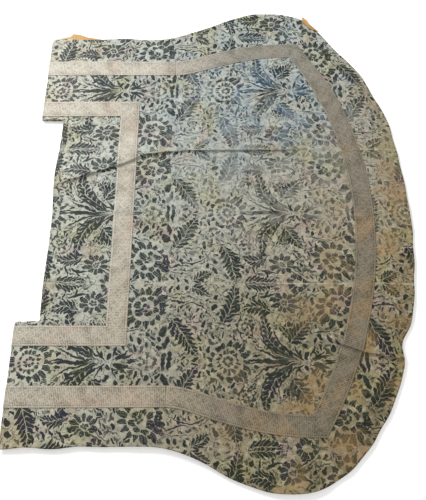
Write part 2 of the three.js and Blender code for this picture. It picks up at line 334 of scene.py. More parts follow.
def smooth_loop(loop, step, corner=20):
    """The outline in steps of this length, its facets rounded into curves and its real corners kept."""
    count = len(loop)
    ahead = np.roll(loop, -1, axis=0) - loop
    behind = loop - np.roll(loop, 1, axis=0)
    turn = np.arctan2(behind[:, 0] * ahead[:, 1] - behind[:, 1] * ahead[:, 0], (behind * ahead).sum(axis=1))
    sharp = np.abs(np.degrees(turn)) > corner
    out = []
    for i in range(count):
        j = (i + 1) % count
        a, b = loop[i], loop[j]
        length = np.linalg.norm(b - a)
        pieces = max(1, round(length / step))
        ta = b - a if sharp[i] else b - loop[i - 1]
        tb = b - a if sharp[j] else loop[(i + 2) % count] - a
        ta, tb = (v / max(np.linalg.norm(v), 1e-6) * length for v in (ta, tb))
        for t in np.arange(pieces) / pieces:
            h = (2 * t**3 - 3 * t**2 + 1, t**3 - 2 * t**2 + t, -2 * t**3 + 3 * t**2, t**3 - t**2)
            out.append(h[0] * a + h[1] * ta + h[2] * b + h[3] * tb)
    return np.array(out)


def inside_loop(points, loop):
    """Which points lie inside a loop, and each point's distance to it."""
    a, b = loop, np.roll(loop, -1, axis=0)
    inside = np.zeros(len(points), bool)
    distance = np.full(len(points), 1e9)
    for (ax, ay), (bx, by) in zip(a, b):
        px, py = points[:, 0], points[:, 1]
        crosses = (ay > py) != (by > py)
        if ay != by:
            inside ^= crosses & (px < (bx - ax) * (py - ay) / (by - ay) + ax)
        ex, ey = bx - ax, by - ay
        t = np.clip(((px - ax) * ex + (py - ay) * ey) / (ex * ex + ey * ey + 1e-12), 0, 1)
        distance = np.minimum(distance, np.hypot(px - ax - t * ex, py - ay - t * ey))
    return inside, distance


def loop_area(loop):
    x, y = loop[:, 0], loop[:, 1]
    return abs((x * np.roll(y, -1) - y * np.roll(x, -1)).sum()) / 2


def refine_creases(grid):
    """The grid with rows of closer points along the sharp creases."""
    for points, _, steep, _ in CREASES:
        if steep > SHARP_CREASE:
            continue
        away, share = crease_distance(grid[:, 0], grid[:, 1], points)
        replaced = (away >= -13) & (away <= 9) & (share > 0) & (share < 1)
        grid = grid[~replaced]
        line = Path(points)
        x, y, nx, ny = line.at(np.arange(0, line.length, CREASE_STEP))
        for row in CREASE_ROWS:
            grid = np.concatenate([grid, np.stack([x + nx * row, y + ny * row], axis=1)])
    return grid


def drawn_out(loop):
    """The far lining's outline with its slack edge past the side, beside the shoulder."""
    along = np.clip((loop[:, 0] - FOLD_X - SLACK_START) / SLACK_LENGTH, 0, 1)
    slack = SIDE_Y - 4 + SLACK_PEAK * np.sin(math.pi * along**0.75) ** 0.8
    at_side = loop[:, 1] > SIDE_Y - 6
    loop[:, 1] = np.where(at_side, np.maximum(loop[:, 1], slack), loop[:, 1])
    return loop


def cloth_from_node(name, half, step, material):
    """A sheet made from the flat CAD piece of this name, with its flat size and its area."""
    loop = smooth_loop(cad_outline(name), step)
    if name == "back_lining_far_width":
        loop = drawn_out(loop)
    low, high = loop.min(0), loop.max(0)
    grid = []
    for i, y in enumerate(np.arange(low[1], high[1] + step, step * ROW_PITCH)):
        xs = np.arange(low[0] + (i % 2) * step / 2, high[0] + step, step)
        grid.append(np.stack([xs, np.full_like(xs, y)], axis=1))
    grid = np.concatenate(grid)
    if material is DAMASK and half == "back":
        grid = refine_creases(grid)
    inside, distance = inside_loop(grid, loop)
    points = np.concatenate([loop, grid[inside & (distance > 0.55 * step)]])
    rim = list(range(len(loop)))
    found = delaunay_2d_cdt([Vector(p) for p in points], [], [rim], 1, 1e-5)
    flat = np.array([tuple(v) for v in found[0]])
    triangles = [tuple(f) for f in found[2]]
    return solid_sheet(name, half, flat, triangles, material), (high - low) * MM, loop_area(loop) * MM * MM


def solid_sheet(name, half, flat, triangles, material):
    """A sheet's two faces, at the levels of the CAD piece of this name, and the wall round them."""
    low, high = (b[2] for b in box_mm(name))
    if material is LINEN:
        low, high = low + PRESSED, high - PRESSED
    count = len(flat)
    edges = dict.fromkeys(edge for tri in triangles for edge in zip(tri, tri[1:] + tri[:1]))
    faces = triangles + [tuple(count + i for i in reversed(tri)) for tri in triangles]
    faces += [(b, a, count + a, count + b) for a, b in edges if (b, a) not in edges]
    points = [place(half, *flat.T, np.full(count, z), material is DAMASK) for z in (high, low)]
    return make_object(name, np.concatenate(points), faces, np.concatenate([flat, flat]) * MM, material)


class Path:
    """A plane curve measured by its length. It runs straight on past its ends."""

    def __init__(self, points):
        self.points = np.asarray(points, float)
        steps = np.hypot(*np.diff(self.points, axis=0).T)
        self.at_point = np.concatenate([[0], np.cumsum(steps)])
        self.length = self.at_point[-1]

    def on_curve(self, s):
        return [np.interp(s, self.at_point, column) for column in self.points.T]

    def at(self, s):
        """x and y at these lengths along the curve, and the unit direction to its left."""
        s = np.asarray(s, float)
        clipped = np.clip(s, 0, self.length)
        x, y = self.on_curve(clipped)
        (x1, y1), (x0, y0) = self.on_curve(clipped + 2), self.on_curve(clipped - 2)
        dx, dy = x1 - x0, y1 - y0
        size = np.hypot(dx, dy)
        dx, dy = dx / size, dy / size
        beyond = s - clipped
        return x + dx * beyond, y + dy * beyond, -dy, dx

    def mirrored(self):
        return Path(self.points * (1, -1))


def strip(name, half, path, profile, material, start=SQUARE, end=SQUARE):
    """A long narrow piece: a closed profile of (across, up) points swept along a path.

    start and end are (extra length, slope of the cut across it) at each end. A braid's own drawing runs
    along it, and silk carries on the drawing of the cloth.
    """
    braid = material is GALLOON
    across, up = np.asarray(profile, float).T
    sections = max(2, round(path.length / (GALLOON_STEP if braid else EDGE_STEP))) + 1
    first = -start[0] + start[1] * across
    last = path.length + end[0] + end[1] * across
    share = np.linspace(0, 1, sections)[:, None]
    s = first * (1 - share) + last * share
    x, y, nx, ny = path.at(s)
    x, y = x + nx * across, y + ny * across
    across, up = (np.broadcast_to(v, s.shape) for v in (across, up))
    points = place(half, x.ravel(), y.ravel(), up.ravel(), spread=BRAID_SPREAD if braid else 0.0)
    ring = len(profile)
    faces = []
    for i in range(0, (sections - 1) * ring, ring):
        for j in range(ring):
            k = (j + 1) % ring
            faces.append((i + j, i + k, i + ring + k, i + ring + j))
    faces += [tuple(range(ring)), tuple(range((sections - 1) * ring, sections * ring))]
    u, v = (s, across) if braid else (x, y)
    return make_object(name, points, faces, np.stack([u.ravel(), v.ravel()], axis=1) * MM, material)


# ---- Materials ---------------------------------------------------------------------------------------


def srgb(red, green, blue):
    """A linear colour from the 0 to 255 values it is seen as."""
    def linear(c):
        c = c / 255
        return c / 12.92 if c <= 0.04045 else ((c + 0.055) / 1.055) ** 2.4
    return (linear(red), linear(green), linear(blue), 1.0)


class Net:
    """Writes a node tree as arithmetic: each call adds one node and returns its output."""

    def __init__(self, tree):
        self.tree = tree

    def put(self, socket, value):
        if isinstance(value, bpy.types.NodeSocket):
            self.tree.links.new(value, socket)
        elif value is not None:
            socket.default_value = value

    def math(self, operation, *values):
        node = self.tree.nodes.new("ShaderNodeMath")
        node.operation = operation
        for socket, value in zip(node.inputs, values):
            self.put(socket, value)
        return node.outputs[0]

    def clamp(self, value):
        node = self.tree.nodes.new("ShaderNodeClamp")
        self.put(node.inputs[0], value)
        return node.outputs[0]

    def add(self, a, b):
        return self.math("ADD", a, b)

    def sub(self, a, b):
        return self.math("SUBTRACT", a, b)

    def mul(self, a, b):
        return self.math("MULTIPLY", a, b)

    def larger(self, a, b):
        return self.math("MAXIMUM", a, b)

    def apart(self, a, b):
        return self.math("ABSOLUTE", self.sub(a, b))

    def line(self, a, slope, offset):
        return self.math("MULTIPLY_ADD", a, slope, offset)

    def step(self, a, slope, offset):
        return self.clamp(self.line(a, slope, offset))

    def vector(self, operation, *values, output=0):
        node = self.tree.nodes.new("ShaderNodeVectorMath")
        node.operation = operation
        for socket, value in zip(node.inputs, values):
            self.put(socket, value)
        return node.outputs[output]

    def dot(self, a, b):
        return self.vector("DOT_PRODUCT", a, b, output=1)

    def xyz(self, x, y):
        node = self.tree.nodes.new("ShaderNodeCombineXYZ")
        self.put(node.inputs[0], x)
        self.put(node.inputs[1], y)
        return node.outputs[0]

    def split(self, vector):
        node = self.tree.nodes.new("ShaderNodeSeparateXYZ")
        self.put(node.inputs[0], vector)
        return node.outputs[0], node.outputs[1]

    def mix(self, factor, a, b):
        node = self.tree.nodes.new("ShaderNodeMix")
        node.data_type = "RGBA"
        self.put(node.inputs[0], factor)
        self.put(node.inputs[6], a)
        self.put(node.inputs[7], b)
        return node.outputs[2]

    def tint(self, tone, *layers):
        """A tone with others laid over it in turn, each given as its mask, its strength and itself."""
        colour = srgb(*tone)
        for mask, strength, over in layers:
            colour = self.mix(self.mul(mask, strength), colour, srgb(*over))
        return colour

    def noise(self, vector, scale, detail, roughness, output=0):
        node = self.tree.nodes.new("ShaderNodeTexNoise")
        node.noise_dimensions = "2D"
        self.put(node.inputs["Vector"], vector)
        self.put(node.inputs["Scale"], scale)
        self.put(node.inputs["Detail"], detail)
        self.put(node.inputs["Roughness"], roughness)
        return node.outputs[output]

    def patches(self, vector, shift, scale, detail, roughness, slope, offset):
        """Soft patches from 0 to 1: noise with its contrast raised."""
        moved = self.vector("ADD", vector, (*shift, 0))
        return self.step(self.noise(moved, scale, detail, roughness), slope, offset)

    def warp(self, vector, amount, scale, detail):
        """A random shift of up to half this amount each way."""
        noise = self.noise(vector, scale, detail, 0.5, output=1)
        return self.vector("MULTIPLY_ADD", noise, (amount, amount, 0), (-amount / 2, -amount / 2, 0))

    def group(self, tree, **values):
        node = self.tree.nodes.new("ShaderNodeGroup")
        node.node_tree = tree
        for name, value in values.items():
            self.put(node.inputs[name], value)
        return node.outputs

    def cloth_uv(self):
        node = self.tree.nodes.new("ShaderNodeUVMap")
        node.uv_map = "cloth"
        return node.outputs[0]


def new_group(name, inputs):
    """An empty node group: its tree, its net, its input sockets by name, and how to end it."""
    tree = bpy.data.node_groups.new(name, "ShaderNodeTree")
    for label, kind in inputs.items():
        tree.interface.new_socket(label, in_out="INPUT", socket_type=kind)
    for label in ("Dark", "Halo"):
        tree.interface.new_socket(label, in_out="OUTPUT", socket_type=FLOAT)
    source = tree.nodes.new("NodeGroupInput")
    sink = tree.nodes.new("NodeGroupOutput")
    sockets = {label: source.outputs[label] for label in inputs}

    def finish(*values):
        for socket, value in zip(sink.inputs, values):
            tree.links.new(value, socket)

    return tree, Net(tree), sockets, finish


FLOAT, VECTOR = "NodeSocketFloat", "NodeSocketVector"
HALO = 3.2  # pale outline left round each figure
BLUE_CENTRE = (0.16, 0.47, 0)  # where the silk has gone blue, in metres
BRAID_RIB, BRAID_BEAD, BRAID_ZIGZAG = 2.6, 2.2, 14.0  # half of each repeat along the braid
BRAID_CORD_AT, BRAID_GROOVE_AT = 29.0, 25.5  # from the braid's middle line


def leaf_group():
    """A bent leaf from a base to a tip, with a pale midrib, a toothed edge and a pale vein to each tooth."""
    tree, n, i, finish = new_group("Leaf", {
        "P": VECTOR, "Base": VECTOR, "Along": VECTOR, "Across": VECTOR,
        "Width": FLOAT, "Bend": FLOAT, "Lobes": FLOAT, "Slant": FLOAT, "Rib": FLOAT})
    d = n.vector("SUBTRACT", i["P"], i["Base"])
    t = n.dot(d, i["Along"])
    hump = n.larger(n.mul(t, n.line(t, -1.0, 1.0)), 0.0)
    off = n.apart(n.dot(d, i["Across"]), n.mul(hump, i["Bend"]))
    profile = n.mul(n.math("POWER", hump, 0.7), n.line(t, -0.7, 1.35))
    width = n.mul(profile, i["Width"])
    tooth = n.math("FRACT", n.sub(n.line(t, i["Lobes"], 0.5), n.mul(off, i["Slant"])))
    margin = n.mul(width, n.line(tooth, -0.5, 1.12))
    body = n.step(n.sub(margin, off), 0.5, 0.5)
    rib = n.step(n.sub(off, i["Rib"]), 0.7, 0.35)
    vein = n.math("ABSOLUTE", n.line(tooth, 2.0, -1.0))
    gap = n.larger(n.step(vein, -5.0, 4.85), 0.2)
    halo = n.step(n.sub(n.add(width, HALO), off), 0.5, 0.5)
    inside = n.math("GREATER_THAN", hump, 0.0)
    finish(n.mul(n.mul(body, rib), gap), n.mul(halo, inside))
    return tree


def fleck_group():
    """A small plain oval."""
    tree, n, i, finish = new_group("Fleck", dict.fromkeys(("P", "Centre", "Along", "Across"), VECTOR))
    d = n.vector("SUBTRACT", i["P"], i["Centre"])
    a, b = n.dot(d, i["Along"]), n.dot(d, i["Across"])
    r = n.line(a, a, n.mul(b, b))
    finish(n.step(r, -1.8, 2.2), n.step(r, -1.0, 2.6))
    return tree


def blossom_group():
    """A ring of veined petals with pale gaps, a little out of round."""
    tree, n, i, finish = new_group("Blossom", {
        "P": VECTOR, "Centre": VECTOR, "Inner": FLOAT, "Outer": FLOAT, "Petals": FLOAT, "Turn": FLOAT})
    d = n.vector("SUBTRACT", i["P"], i["Centre"])
    radius = n.vector("LENGTH", d, output=1)
    x, y = n.split(d)
    angle = n.math("ARCTAN2", y, x)
    phase = n.line(angle, i["Petals"], i["Turn"])
    gap = n.math("ABSOLUTE", n.line(n.math("FRACT", phase), 2.0, -1.0))
    uneven = n.line(n.math("SINE", n.line(angle, 2.0, i["Inner"])), 0.09, 0.97)
    outer = n.mul(n.mul(i["Outer"], uneven), n.line(n.mul(gap, gap), -0.34, 1.06))
    body = n.mul(n.step(n.sub(outer, radius), 0.5, 0.5), n.step(n.sub(radius, i["Inner"]), 0.5, 0.5))
    vein = n.step(n.math("PINGPONG", n.mul(phase, 3.0), 0.5), 6.0, 0.35)
    dark = n.mul(n.mul(body, n.step(gap, -5.5, 5.2)), vein)
    finish(dark, n.step(n.sub(n.add(i["Outer"], HALO), radius), 0.5, 0.5))
    return tree


# The damask's drawing, in millimetres of one pattern cell: along the loom width from -300 to 288, and
# out from the middle of the loom width, 0 to 255. Dark satin figures on the paler ground.
# Leaves: base, tip, width, bend to the left, teeth.
LEAVES = [
    ((-124, 134), (-46, 12), 54, 0, 12), ((30, 122), (70, 253), 52, -8, 12),
    ((-62, 248), (-6, 212), 34, 0, 8), ((222, 20), (158, 186), 34, 30, 15),
    ((176, 158), (88, 160), 46, -16, 9), ((230, 56), (290, 132), 48, 0, 9),
    ((100, 252), (200, 248), 40, 0, 11), ((226, 72), (198, 128), 17, 0, 5),
    ((228, 78), (222, 138), 16, 0, 5), ((232, 80), (246, 136), 15, 0, 5),
    ((254, 140), (278, 168), 18, 0, 3), ((128, 60), (96, 96), 16, 0, 4), ((-268, 12), (-298, 44), 16, 0, 4),
    ((-258, 250), (-226, 214), 18, 0, 3), ((-150, 204), (-146, 150), 20, -4, 5),
    ((62, 190), (84, 140), 14, 4, 4),
]
# Stems and bars: base, tip, width, bend.
STEMS = [
    ((-292, 88), (-212, 112), 6, -6), ((-140, 150), (4, 112), 7, 58), ((-140, 201), (-66, 200), 7, -8),
    ((-140, 210), (-68, 220), 4, 3), ((-292, 2), (-240, 18), 7, 0), ((0, 124), (72, 104), 4, 4),
    ((84, 150), (76, 108), 5, 0), ((206, 8), (134, 146), 6, 22), ((252, 4), (128, 88), 8, 14),
    ((240, 2), (108, 56), 9, 10), ((226, 0), (88, 6), 12, 0), ((236, 10), (212, 50), 8, 0),
    ((234, 204), (292, 248), 6, 0), ((246, 200), (298, 238), 4, 0), ((144, 204), (200, 216), 10, 4),
    ((250, 184), (278, 158), 7, 0), ((-150, 182), (-128, 206), 5, 0), ((124, 196), (136, 232), 8, 0),
    ((250, 8), (150, 112), 8, 20), ((262, 10), (182, 112), 9, 16), ((268, 6), (240, 52), 10, 4),
    ((-296, 6), (-252, 40), 11, -4), ((-292, 2), (-236, 24), 10, 2), ((-298, 14), (-282, 52), 10, 0),
    ((-262, 4), (-226, 2), 8, 0), ((88, 64), (70, 104), 7, -6), ((118, 84), (104, 128), 7, -5),
]
# Small ovals: end, end, width.
FLECKS = [
    (-160, 80, -138, 112, 26), (-148, 36, -134, 84, 17), (-153, -4, -144, 31, 15),
    (-130, -12, -130, 33, 14), (-247, 86, -236, 58, 11), (-236, 54, -228, 30, 11), (-224, 74, -213, 50, 14),
    (-198, 60, -190, 38, 12), (-208, 94, -190, 82, 9), (-188, 86, -174, 70, 10), (-170, 84, -158, 64, 11),
    (-168, 52, -152, 36, 13), (-182, 64, -174, 48, 9), (-262, 66, -272, 86, 10), (-262, 36, -270, 56, 9),
    (-284, 54, -278, 76, 10), (-112, 156, -108, 172, 7), (-100, 164, -96, 188, 9), (-88, 144, -82, 162, 7),
    (-70, 160, -64, 178, 8), (-62, 136, -58, 150, 7), (-48, 158, -42, 174, 8), (-38, 138, -34, 156, 8),
    (-34, 108, -24, 134, 13), (-22, 150, -16, 166, 7), (-24, 84, -14, 104, 9), (-4, 72, 2, 92, 9),
    (-40, 64, -46, 82, 8), (10, 40, 30, 52, 11), (-18, 24, -10, 46, 12), (-36, 28, -40, 50, 9),
    (-66, 4, -44, 10, 9), (-100, 4, -82, 18, 10), (44, 52, 58, 46, 9), (62, 62, 58, 86, 9),
    (28, 74, 34, 94, 8), (74, 42, 84, 60, 8), (-136, 222, -122, 244, 12), (-112, 228, -104, 250, 9),
    (-86, 232, -76, 252, 10), (2, 200, 12, 222, 15), (-4, 168, 14, 186, 16), (6, 148, 20, 160, 9),
    (-20, 188, -12, 202, 9), (78, 214, 84, 240, 9), (88, 188, 96, 206, 9), (104, 204, 112, 226, 9),
    (138, 96, 146, 116, 8), (152, 36, 172, 46, 9), (118, 16, 140, 22, 9), (162, 214, 172, 232, 8),
    (262, 196, 276, 214, 10), (276, 182, 286, 200, 9), (266, 60, 282, 40, 12), (272, 8, 284, 30, 14),
    (254, 16, 262, 36, 10), (176, 196, 186, 208, 8), (-262, 112, -252, 128, 8), (-172, 226, -160, 246, 10),
    (-282, 104, -276, 124, 8), (-288, 140, -280, 160, 9), (-286, 180, -278, 204, 10),
    (-284, 222, -272, 240, 9), (46, 108, 60, 118, 7), (24, 102, 36, 110, 7),
]
# Blossoms: centre, inner and outer radius, petals, turn.
BLOSSOMS = [
    (-206, 174, 44, 68, 15, 0.2), (-202, 178, 20, 37, 7, 0.1), (-208, 172, 3, 13, 4, 0.3),
    (44, 0, 24, 36, 15, 0.0), (44, 0, 44, 62, 17, 0.5), (44, 0, 6, 17, 7, 0.0), (97, 112, 5, 13, 6, 0.0),
    (97, 112, 19, 27, 9, 0.3), (220, 188, 14, 38, 10, 0.0), (220, 188, 2, 10, 5, 0.0),
    (262, 255, 12, 30, 8, 0.0),
]
CELL_LOW, CELL_HIGH, CELL_SHIFT = -300.0, 288.0, 20.0


def directions(a, b):
    """A direction along which a to b counts 1, and the unit direction at right angles to it."""
    d = Vector((b[0] - a[0], b[1] - a[1], 0))
    return d / d.length**2, Vector((-d.y, d.x, 0)) / d.length


def damask_figure(n, cell):
    """How dark the drawing is at a point of the cell, from 0 to 1."""
    leaf, fleck, blossom = leaf_group(), fleck_group(), blossom_group()
    dark, halo = 0.0, 0.0

    def join(tree, **values):
        nonlocal dark, halo
        made = n.group(tree, P=cell, **values)
        dark, halo = n.larger(made[0], dark), n.larger(made[1], halo)

    for base, tip, width, bend, teeth in LEAVES:
        along, across = directions(base, tip)
        join(leaf, Base=(*base, 0), Along=along, Across=across, Width=1.5 * width, Bend=4.0 * bend,
             Lobes=0.7 * teeth, Slant=0.75 * teeth / math.dist(base, tip), Rib=1.0)
    for base, tip, width, bend in STEMS:
        along, across = directions(base, tip)
        join(leaf, Base=(*base, 0), Along=along, Across=across, Width=1.3 * width, Bend=4.0 * bend,
             Lobes=0.001, Slant=0.0, Rib=-3.0)
    for ax, ay, bx, by, width in FLECKS:
        length = math.hypot(bx - ax, by - ay)
        ux, uy = (bx - ax) / length, (by - ay) / length
        join(fleck, Centre=((ax + bx) / 2, (ay + by) / 2, 0),
             Along=(2 * ux / length, 2 * uy / length, 0), Across=(-2 * uy / width, 2 * ux / width, 0))
    for x, y, inner, outer, petals, turn in BLOSSOMS:
        join(blossom, Centre=(x, y, 0), Inner=float(inner), Outer=float(outer), Petals=petals / math.tau,
             Turn=turn)
    # Small sprigs, crossed by pale veins, fill the ground between the figures and their halos.
    swirled = n.vector("ADD", cell, n.warp(cell, 46, 0.028, 1.0))
    sprigs = n.step(n.noise(swirled, 0.075, 1.4, 0.5), 13.0, -6.35)
    veins = n.apart(n.noise(cell, 0.045, 1.0, 0.5), 0.5)
    sprigs = n.mul(sprigs, n.step(veins, 60.0, -0.6))
    return n.larger(dark, n.mul(sprigs, n.line(halo, -0.85, 0.85)))


def new_material(name, roughness, specular):
    """A material, its net, and how to end it with a colour and a relief."""
    material = bpy.data.materials.new(name)
    material.use_nodes = True
    shader = material.node_tree.nodes["Principled BSDF"]
    shader.inputs["Roughness"].default_value = roughness
    shader.inputs["Specular IOR Level"].default_value = specular
    n = Net(material.node_tree)

    def finish(colour, height, distance):
        node = n.tree.nodes.new("ShaderNodeBump")
        node.inputs["Distance"].default_value = distance
        node.inputs["Strength"].default_value = 1.0
        n.put(node.inputs["Height"], height)
        n.put(shader.inputs["Normal"], node.outputs[0])
        n.put(shader.inputs["Base Color"], colour)

    return material, n, finish


def damask_material():
    """Silk with a satin figure that light and wear have faded unevenly, its ground painted lighter toward
    the neck and darker toward the near side for light and shade.
    """
    material, n, finish = new_material("silk_damask", 0.55, 0.2)
    uv = n.cloth_uv()
    drawn = n.vector("MULTIPLY", uv, (1000, 1000, 0))
    for amount, scale, detail in ((20, 21, 2), (9, 95, 1)):
        drawn = n.vector("ADD", drawn, n.warp(uv, amount, scale, detail))
    x, y = n.split(drawn)
    across = n.math("PINGPONG", n.math("ABSOLUTE", y), SEAM_Y)
    along = n.math("WRAP", n.add(x, CELL_SHIFT), CELL_HIGH, CELL_LOW)
    figure = damask_figure(n, n.xyz(along, across))

    # Where things are: gx runs toward the hem and gy toward the far side, in metres.
    gx, gy = n.split(uv)
    grain = n.noise(uv, 420, 3, 0.65)
    wear = n.noise(uv, 14, 3, 0.6)
    shade = n.noise(n.vector("ADD", uv, (2.7, 6.6, 0)), 52, 2, 0.55)
    # Darker toward the near side and the hem end: painted shade, where less light falls.
    near = n.mul(n.step(gy, -4.5, -0.7), n.step(gx, 1.6, 0.65))
    # Paler toward the neck end: painted light, where more light falls on that end.
    painted_light_neck_end = n.step(gx, -5.0, -1.5)
    seam = n.step(n.apart(n.math("ABSOLUTE", gy), SEAM_Y * MM), -350.0, 1.2)
    seam = n.mul(seam, n.step(wear, 5.0, -1.9))
    # Rusty patches toward the near end of the hem.
    toward_hem = n.step(n.dot(uv, (1.1, -0.6, 0)), 2.2, -0.45)
    rust = n.mul(toward_hem, n.patches(uv, (5.7, 3.4), 9, 4, 0.65, 6.0, -2.8))
    # Browner toward the near end of the hem, and in stains along the whole of it.
    hem = n.step(n.dot(n.vector("MULTIPLY", uv, uv), (2.2, 0.55, 0)), 2.2, -1.35)
    stains = n.step(n.noise(uv, 3.2, 3, 0.55), 4.5, -2.1)
    warm = n.step(n.dot(uv, (0.75, -0.62, 0)), 0.9, 0.18)
    warm = n.clamp(n.line(n.mul(hem, n.line(stains, 0.8, 0.2)), 1.1, warm))
    # The dyes have gone olive and violet in patches, and light blue over the far side.
    olive = n.step(n.noise(uv, 6.5, 2, 0.6), 5.0, -2.4)
    violet = n.patches(uv, (7.3, 2.1), 11, 2, 0.5, 8.0, -4.5)
    from_blue = n.vector("DISTANCE", uv, BLUE_CENTRE, output=1)
    blue = n.mul(n.step(from_blue, -3.6, 1.5), n.patches(uv, (1.9, 5.2), 9, 2, 0.5, 6.0, -2.6))

    # The figure is weakest in the middle and toward the hem, along the seams and in the rust.
    worn = n.mul(n.step(gx, 3.0, 1.2), n.mul(n.step(gy, 2.6, 0.85), n.step(gy, -1.6, 1.45)))
    strength = n.line(worn, -0.5, n.add(wear, 0.71))
    strength = n.clamp(n.line(n.sub(shade, 0.5), 1.1, strength))
    strength = n.mul(strength, n.mul(n.line(seam, -0.7, 1.0), n.line(rust, -0.35, 1.0)))
    figure = n.clamp(n.add(n.line(grain, 0.5, -0.25), n.mul(figure, strength)))

    # The pale ground is painted lighter toward the neck end (painted light) and darker toward the near side
    # and hem (painted shade).
    pale = n.tint(
        (163, 168, 161), (warm, 1.0, (146, 123, 82)), (painted_light_neck_end, 0.45, (190, 188, 168)),
        (near, 0.6, (114, 109, 84)), (olive, 0.5, (150, 146, 106)), (violet, 0.4, (160, 140, 130)),
        (blue, 0.5, (136, 154, 164)), (n.step(shade, -5.0, 2.4), 0.35, (84, 88, 74)),
        (n.step(shade, 5.0, -2.6), 0.35, (200, 194, 170)), (rust, 0.6, (150, 120, 76)),
        (seam, 0.5, (196, 192, 170)))
    dark = n.tint(
        (10, 26, 30), (warm, 0.6, (34, 28, 10)), (n.step(shade, -4.0, 2.2), 0.6, (46, 62, 52)),
        (rust, 0.8, (52, 38, 16)), (olive, 0.7, (26, 32, 8)), (violet, 0.6, (28, 26, 46)),
        (blue, 0.8, (38, 62, 84)))
    rumple = n.noise(n.vector("ADD", uv, (3.3, 0.9, 0)), 17, 2, 0.5)
    finish(n.mix(figure, pale, dark), n.line(rumple, 9.0, grain), 0.0002)
    return material


def galloon_material():
    """Silver braid with ribs across it, a zigzag up its middle, and a beaded cord along each edge."""
    material, n, finish = new_material("metal_galloon", 0.5, 0.3)
    uv = n.cloth_uv()
    u, v = n.split(n.vector("MULTIPLY", uv, (1000, 1000, 0)))
    off = n.math("ABSOLUTE", v)
    rib = n.math("PINGPONG", n.line(n.noise(uv, 60, 2, 0.5), 2.0, u), BRAID_RIB)
    chevron = n.step(n.apart(off, n.math("PINGPONG", u, BRAID_ZIGZAG)), -0.4, 1.3)
    bead = n.step(n.math("PINGPONG", u, BRAID_BEAD), 0.9, -0.4)
    bead = n.mul(n.step(n.apart(off, BRAID_CORD_AT), -0.8, 1.6), bead)
    groove = n.step(n.apart(off, BRAID_GROOVE_AT), -0.9, 1.2)
    grain = n.noise(uv, 190, 4, 0.75)
    fade = n.noise(uv, 24, 3, 0.65)

    place_m = n.tree.nodes.new("ShaderNodeTexCoord").outputs["Object"]
    warm = n.step(n.dot(place_m, (0.8, -0.65, 0)), 0.95, 0.25)
    pink = n.patches(place_m, (3.1, 1.7), 9, 2, 0.5, 6.0, -3.2)
    toward_hem = n.step(n.dot(place_m, (1.2, -0.5, 0)), 2.0, -0.2)
    rust = n.mul(toward_hem, n.patches(place_m, (5.5, 3.1), 9, 3, 0.6, 5.0, -2.3))
    tarnish = n.step(n.dot(place_m, (1, 0, 0)), 3.4, 0.82)  # from the flares on round the hem
    pale = n.tint(
        (186, 180, 166), (warm, 1.0, (150, 132, 98)), (pink, 0.5, (178, 154, 136)),
        (tarnish, 0.6, (100, 97, 88)), (rust, 0.5, (160, 130, 88)))
    deep = n.tint((112, 107, 92), (warm, 1.0, (72, 60, 38)), (tarnish, 0.6, (50, 48, 40)))

    figure = n.line(n.step(rib, 0.75, -0.6), 0.5, n.mul(groove, 0.4))
    figure = n.add(figure, n.line(n.add(chevron, n.mul(bead, 1.6)), -0.34, 0.14))
    figure = n.line(n.sub(grain, 0.5), 2.2, figure)
    figure = n.clamp(n.line(n.sub(fade, 0.5), 1.3, figure))
    finish(n.mix(figure, pale, deep), n.line(rib, -0.2, grain), 0.0004)
    return material


def lining_material():
    """Apricot silk with slubs, mottling, and faint tide lines and spots."""
    material, n, finish = new_material("lining_silk", 0.55, 0.3)
    uv = n.cloth_uv()
    slub = n.noise(n.vector("MULTIPLY", uv, (26, 900, 1)), 1.0, 2, 0.6)
    warp = n.noise(n.vector("MULTIPLY", uv, (900, 40, 1)), 1.0, 1, 0.5)
    weave = n.add(slub, warp)
    mottle = n.step(n.noise(uv, 4, 4, 0.6), 1.3, -0.15)
    mixed = n.clamp(n.line(n.sub(weave, 1.0), 0.45, mottle))
    tide = n.step(n.apart(n.noise(uv, 1.4, 2, 0.45), 0.56), -60.0, 0.75)
    spots = n.patches(uv, (4, 9), 17, 3, 0.7, 12.0, -8.0)
    marks = n.larger(tide, spots)
    colour = n.tint((160, 120, 66), (mixed, 1.0, (196, 156, 98)), (marks, 0.25, (110, 76, 40)))
    creases = n.noise(n.vector("MULTIPLY", uv, (5, 14, 1)), 1.0, 3, 0.5)
    finish(colour, n.line(creases, 12.0, weave), 0.0005)
    return material


def linen_material():
    """Plain undyed linen."""
    material, n, finish = new_material("interlining_linen", 0.9, 0.5)
    weave = n.noise(n.vector("MULTIPLY", n.cloth_uv(), (600, 600, 1)), 1.0, 2, 0.6)
    finish(n.tint((186, 172, 140), (weave, 1.0, (212, 200, 170))), weave, 0.0002)
    return material


DAMASK, GALLOON, LINING, LINEN = damask_material(), galloon_material(), lining_material(), linen_material()
# Flat sizes in metres: the least width, the silk across a rolled edge, what a slanted cut can add
# to a galloon, and the tongue of loose lining.
NARROWEST, TURNED_WIDTH, MITRE_LENGTH, TUFT_FLAT = 0.011, 0.0154, 0.04, (0.045, 0.060)


def settle(obj, half, node):
    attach(obj, half)
    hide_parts(node)


# ---- The garment -------------------------------------------------------------------------------------

# How much shorter and narrower on each side than the back, and the neck's lower edge.
HALVES = {"back": (0.0, 0.0, NECK_X), "front": (FRONT_SHORTER, FRONT_NARROWER, FRONT_NECK_X)}
FOLD_RADII = {DAMASK: (0.95, 4.35), GALLOON: (4.65, 5.85)}


def up_in(half, z):
    """A height given for the back, or the same level mirrored for the front."""
    return z if half == "back" else TOTAL - z


